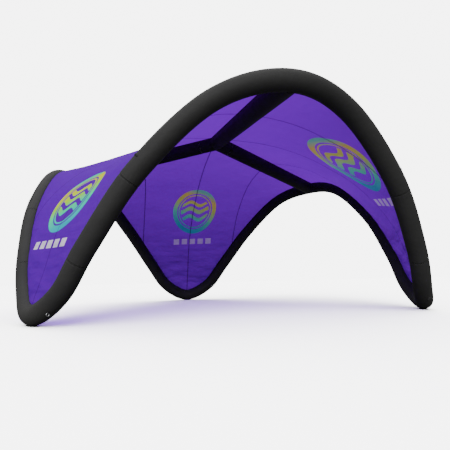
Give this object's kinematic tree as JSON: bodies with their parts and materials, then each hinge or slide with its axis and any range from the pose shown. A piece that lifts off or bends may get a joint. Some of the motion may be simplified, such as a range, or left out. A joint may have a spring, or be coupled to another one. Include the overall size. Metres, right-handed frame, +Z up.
{
  "type": "inflatable event canopy",
  "caption": "Free-standing inflatable canopy: air-tube arches share U-shaped feet, ridge tubes meet in a central hub, and domed fabric petals roof the bays over the feet.",
  "frame": {"origin": "on the ground under the hub, at the centre between the three feet", "axes": "+Z up; +Y from the centre towards the rear foot; -Y out through the front arch; +X to the right when looking along +Y"},
  "size_m": [7.0234, 7.1795, 3.4576],
  "materials": {
    "tube_cloth": "black coated polyester tube cover, slight sheen",
    "bladder_film": "translucent grey air-tight film",
    "petal_cloth": "violet coated ripstop polyester, lightly translucent",
    "sole_rubber": "matt black wear patch",
    "valve_plastic": "moulded black nylon",
    "plunger_plastic": "moulded grey acetal",
    "webbing": "woven black polyester webbing",
    "ring_steel": "welded stainless wire"
  },
  "bodies": {
    "canopy": {"foot_sleeve_left": "tube_cloth", "leg_sleeve_left_a": "tube_cloth", "leg_sleeve_left_b": "tube_cloth", "leg_bladder_left": "bladder_film", "canopy_left_centre_a": "petal_cloth", "canopy_left_centre_b": "petal_cloth", "canopy_left_shoulder_a": "petal_cloth", "canopy_left_shoulder_b": "petal_cloth", "foot_pad_left": "sole_rubber", "valve_body_left": "valve_plastic", "ring_tab_left": "webbing", "guy_strap_left_a": "webbing", "guy_strap_left_b": "webbing", "foot_sleeve_right": "tube_cloth", "leg_sleeve_right_a": "tube_cloth", "leg_sleeve_right_b": "tube_cloth", "leg_bladder_right": "bladder_film", "canopy_right_centre_a": "petal_cloth", "canopy_right_centre_b": "petal_cloth", "canopy_right_shoulder_a": "petal_cloth", "canopy_right_shoulder_b": "petal_cloth", "foot_pad_right": "sole_rubber", "valve_body_right": "valve_plastic", "ring_tab_right": "webbing", "guy_strap_right_a": "webbing", "guy_strap_right_b": "webbing", "foot_sleeve_rear": "tube_cloth", "leg_sleeve_rear_a": "tube_cloth", "leg_sleeve_rear_b": "tube_cloth", "leg_bladder_rear": "bladder_film", "canopy_rear_centre_a": "petal_cloth", "canopy_rear_centre_b": "petal_cloth", "canopy_rear_shoulder_a": "petal_cloth", "canopy_rear_shoulder_b": "petal_cloth", "foot_pad_rear": "sole_rubber", "valve_body_rear": "valve_plastic", "ring_tab_rear": "webbing", "guy_strap_rear_a": "webbing", "guy_strap_rear_b": "webbing", "arch_sleeve_front": "tube_cloth", "ridge_sleeve_front": "tube_cloth", "ridge_bladder_front": "bladder_film", "arch_sleeve_left": "tube_cloth", "ridge_sleeve_left": "tube_cloth", "ridge_bladder_left": "bladder_film", "arch_sleeve_right": "tube_cloth", "ridge_sleeve_right": "tube_cloth", "ridge_bladder_right": "bladder_film", "hub_sleeve": "tube_cloth"},
    "plunger_left": {"valve_plunger_left": "plunger_plastic"},
    "cap_left": {"valve_cap_left": "valve_plastic"},
    "ring_left": {"tie_ring_left": "ring_steel"},
    "plunger_right": {"valve_plunger_right": "plunger_plastic"},
    "cap_right": {"valve_cap_right": "valve_plastic"},
    "ring_right": {"tie_ring_right": "ring_steel"},
    "plunger_rear": {"valve_plunger_rear": "plunger_plastic"},
    "cap_rear": {"valve_cap_rear": "valve_plastic"},
    "ring_rear": {"tie_ring_rear": "ring_steel"}
  },
  "joints": [
    {"name": "plunger_left_push", "type": "slide", "parent": "canopy", "child": "plunger_left", "axis": [0.6454, -0.2863, 0.7082], "range_m": [0, 0.005], "stiffness_N_per_m": 80},
    {"name": "cap_left_hinge", "type": "hinge", "parent": "canopy", "child": "cap_left", "pos_m": [-3.28835, -1.27516, 0.21631], "axis": [0.7268, 0.5153, -0.4541], "range_deg": [0, 150]},
    {"name": "ring_left_swing", "type": "hinge", "parent": "canopy", "child": "ring_left", "pos_m": [-2.77114, -2.19205, 0.19081], "axis": [-0.8097, -0.3718, 0.4541], "range_deg": [-50, 120]},
    {"name": "plunger_right_push", "type": "slide", "parent": "canopy", "child": "plunger_right", "axis": [-0.0748, 0.702, 0.7082], "range_m": [0, 0.005], "stiffness_N_per_m": 80},
    {"name": "cap_right_hinge", "type": "hinge", "parent": "canopy", "child": "cap_right", "pos_m": [2.7485, -2.21021, 0.21631], "axis": [-0.8097, 0.3718, -0.4541], "range_deg": [0, 150]},
    {"name": "ring_right_swing", "type": "hinge", "parent": "canopy", "child": "ring_right", "pos_m": [3.28394, -1.30386, 0.19081], "axis": [0.7268, -0.5153, 0.4541], "range_deg": [-50, 120]},
    {"name": "plunger_rear_push", "type": "slide", "parent": "canopy", "child": "plunger_rear", "axis": [-0.5706, -0.4158, 0.7082], "range_m": [0, 0.005], "stiffness_N_per_m": 80},
    {"name": "cap_rear_hinge", "type": "hinge", "parent": "canopy", "child": "cap_rear", "pos_m": [0.53985, 3.48538, 0.21631], "axis": [0.0828, -0.8871, -0.4541], "range_deg": [0, 150]},
    {"name": "ring_rear_swing", "type": "hinge", "parent": "canopy", "child": "ring_rear", "pos_m": [-0.5128, 3.49591, 0.19081], "axis": [0.0828, 0.8871, 0.4541], "range_deg": [-50, 120]}
  ]
}
